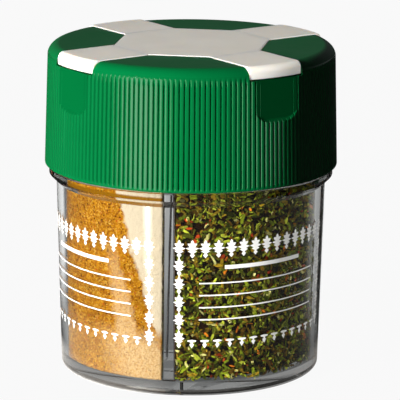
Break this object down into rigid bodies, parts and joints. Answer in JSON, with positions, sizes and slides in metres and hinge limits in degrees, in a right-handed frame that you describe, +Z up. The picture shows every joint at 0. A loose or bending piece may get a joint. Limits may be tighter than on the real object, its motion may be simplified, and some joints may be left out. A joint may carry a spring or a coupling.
{
  "type": "spice shaker",
  "caption": "Round clear jar divided into compartments of spice, with a ribbed pull-off cap and a cross of flip-up flaps over the sifter holes.",
  "frame": {"origin": "centre of the base, on the surface that the jar stands on", "axes": "+Z up along the axis of the jar; the partitions lie along X and Y, and the front of the picture is -Y"},
  "size_m": [0.067, 0.067, 0.0753],
  "materials": {
    "clear_plastic": "polished",
    "green_plastic": "satin",
    "cream_plastic": "satin",
    "spice_front_left": "matte",
    "spice_front_right": "matte",
    "spice_back_left": "matte",
    "spice_back_right": "matte"
  },
  "bodies": {
    "jar": {"jar": "clear_plastic", "spice_front_left": "spice_front_left", "spice_front_right": "spice_front_right", "spice_back_left": "spice_back_left", "spice_back_right": "spice_back_right"},
    "cap": {"cap": "green_plastic", "flap_hub": "cream_plastic"},
    "flap_front_left": {"flap_front_left": "cream_plastic"},
    "flap_front_right": {"flap_front_right": "cream_plastic"},
    "flap_back_left": {"flap_back_left": "cream_plastic"},
    "flap_back_right": {"flap_back_right": "cream_plastic"}
  },
  "joints": [
    {"name": "cap_lift", "type": "slide", "parent": "jar", "child": "cap", "axis": [0, 0, 1], "range_m": [0, 0.045]},
    {"name": "hinge_front_left", "type": "hinge", "parent": "cap", "child": "flap_front_left", "pos_m": [-0.01202, -0.01202, 0.0753], "axis": [-0.7071, 0.7071, 0], "range_deg": [0, 110]},
    {"name": "hinge_front_right", "type": "hinge", "parent": "cap", "child": "flap_front_right", "pos_m": [0.01202, -0.01202, 0.0753], "axis": [-0.7071, -0.7071, 0], "range_deg": [0, 110]},
    {"name": "hinge_back_left", "type": "hinge", "parent": "cap", "child": "flap_back_left", "pos_m": [-0.01202, 0.01202, 0.0753], "axis": [0.7071, 0.7071, 0], "range_deg": [0, 110]},
    {"name": "hinge_back_right", "type": "hinge", "parent": "cap", "child": "flap_back_right", "pos_m": [0.01202, 0.01202, 0.0753], "axis": [0.7071, -0.7071, 0], "range_deg": [0, 110]}
  ]
}
